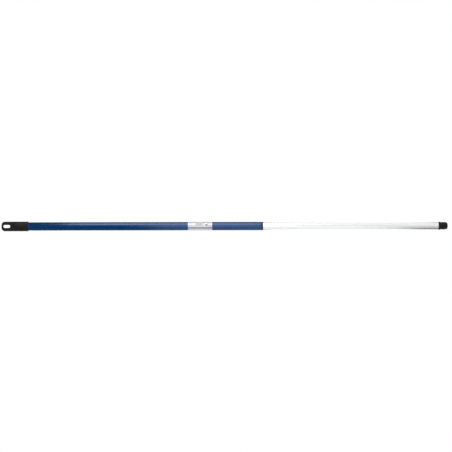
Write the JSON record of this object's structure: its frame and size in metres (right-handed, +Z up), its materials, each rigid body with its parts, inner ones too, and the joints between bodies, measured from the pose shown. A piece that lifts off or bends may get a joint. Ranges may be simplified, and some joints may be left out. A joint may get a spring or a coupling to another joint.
{
  "type": "telescopic boat hook pole",
  "caption": "Two-section telescopic boat hook pole with an inside twist lock, a hanging cap and a coarse threaded end for a screw-on hook head.",
  "frame": {"origin": "middle of the hanging slot, on the pole's axis", "axes": "+X along the pole towards the threaded end, +Y through the slot, +Z up"},
  "size_m": [1.3518, 0.029, 0.029],
  "materials": {
    "cap_black": "matte",
    "tube_blue": "gloss",
    "label_silver": "satin",
    "bush_black": "satin",
    "tube_white": "satin",
    "thread_black": "satin",
    "lock_nylon": "satin",
    "sleeve_nylon": "satin",
    "cone_nylon": "satin",
    "zinc_steel": "satin"
  },
  "bodies": {
    "outer_pole": {"hang_cap": "cap_black", "outer_tube": "tube_blue", "label": "label_silver", "mouth_bush": "bush_black"},
    "lock_slider": {"expander_sleeve": "sleeve_nylon"},
    "inner_pole": {"inner_tube": "tube_white", "threaded_end": "thread_black", "lock_plug": "lock_nylon", "lock_bolt": "zinc_steel", "jam_nut": "zinc_steel", "thrust_washer": "zinc_steel", "stop_washer": "zinc_steel", "stop_nut": "zinc_steel"},
    "lock_cone": {"cone_nut": "cone_nylon"}
  },
  "joints": [
    {"name": "telescope_slide", "type": "slide", "parent": "outer_pole", "child": "lock_slider", "axis": [1, 0, 0], "range_m": [-0.53, 0.112]},
    {"name": "twist_lock", "type": "hinge", "parent": "lock_slider", "child": "inner_pole", "pos_m": [0.6276, 0, 0], "axis": [1, 0, 0], "range_deg": [0, 540]},
    {"name": "cone_travel", "type": "slide", "parent": "lock_slider", "child": "lock_cone", "axis": [1, 0, 0], "range_m": [-0.0015, 0]}
  ],
  "couplings": [
    {"joint": "cone_travel", "follows": "twist_lock", "m_per_rad": -0.00015915}
  ]
}
